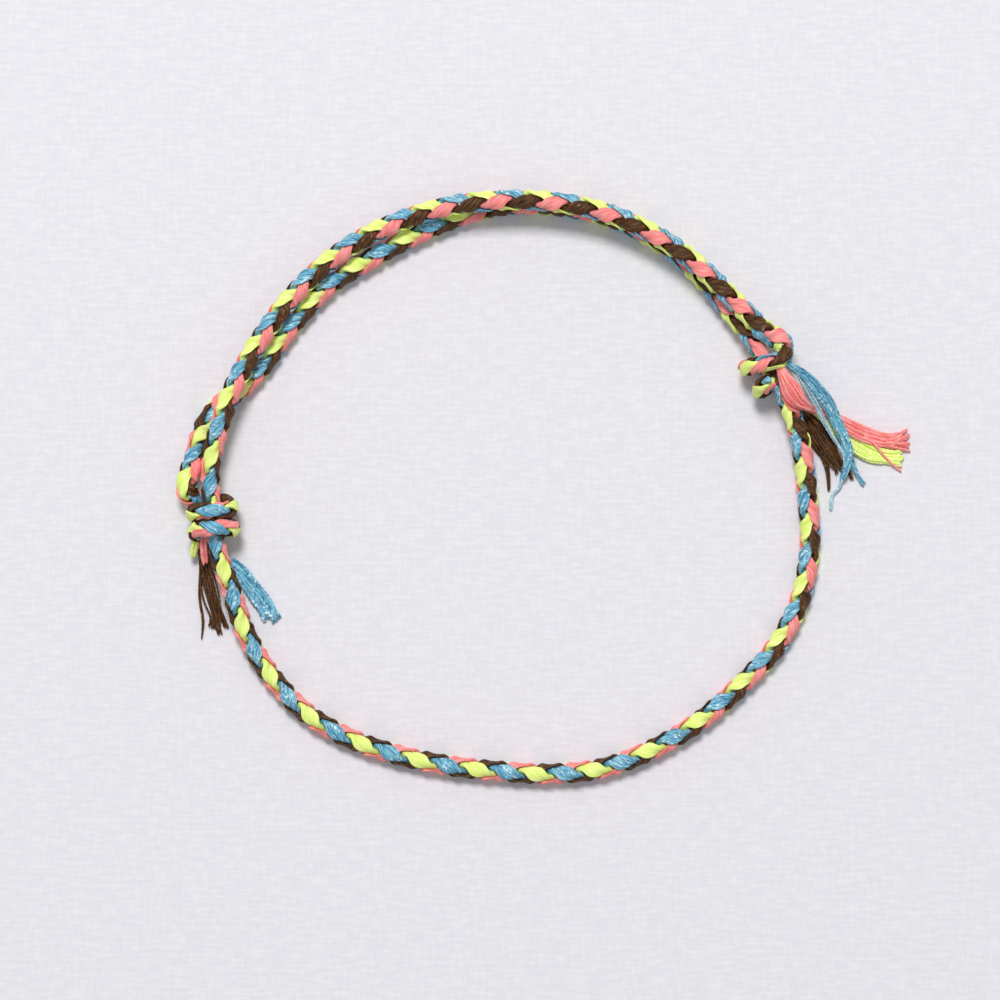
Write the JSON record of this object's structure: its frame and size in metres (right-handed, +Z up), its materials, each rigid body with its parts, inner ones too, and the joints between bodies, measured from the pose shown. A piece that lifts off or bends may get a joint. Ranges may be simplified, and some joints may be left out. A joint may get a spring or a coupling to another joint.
{
  "type": "braided bracelet",
  "caption": "Adjustable friendship bracelet: a round braid of blue, yellow, pink and brown strands laid in a loop, its ends doubled and tied in sliding knots with loose tails.",
  "frame": {"origin": "middle of the bracelet's outline on the surface it lies on", "axes": "+Z up out of the loop, the way the wrist passes; +X from the left knot to the right knot; +Y to the doubled stretch at the back"},
  "size_m": [0.0732, 0.0592, 0.0052],
  "materials": {
    "blue_yarn": "glossy synthetic yarn",
    "yellow_yarn": "soft neon yarn",
    "pink_yarn": "soft coral yarn",
    "brown_yarn": "dark silky yarn"
  },
  "bodies": {
    "root": {"blue_strand": "blue_yarn", "yellow_strand": "yellow_yarn", "pink_strand": "pink_yarn", "brown_strand": "brown_yarn", "left_blue_tail": "blue_yarn", "left_yellow_tail": "yellow_yarn", "left_pink_tail": "pink_yarn", "left_brown_tail": "brown_yarn", "right_blue_tail": "blue_yarn", "right_yellow_tail": "yellow_yarn", "right_pink_tail": "pink_yarn", "right_brown_tail": "brown_yarn"}
  },
  "joints": []
}
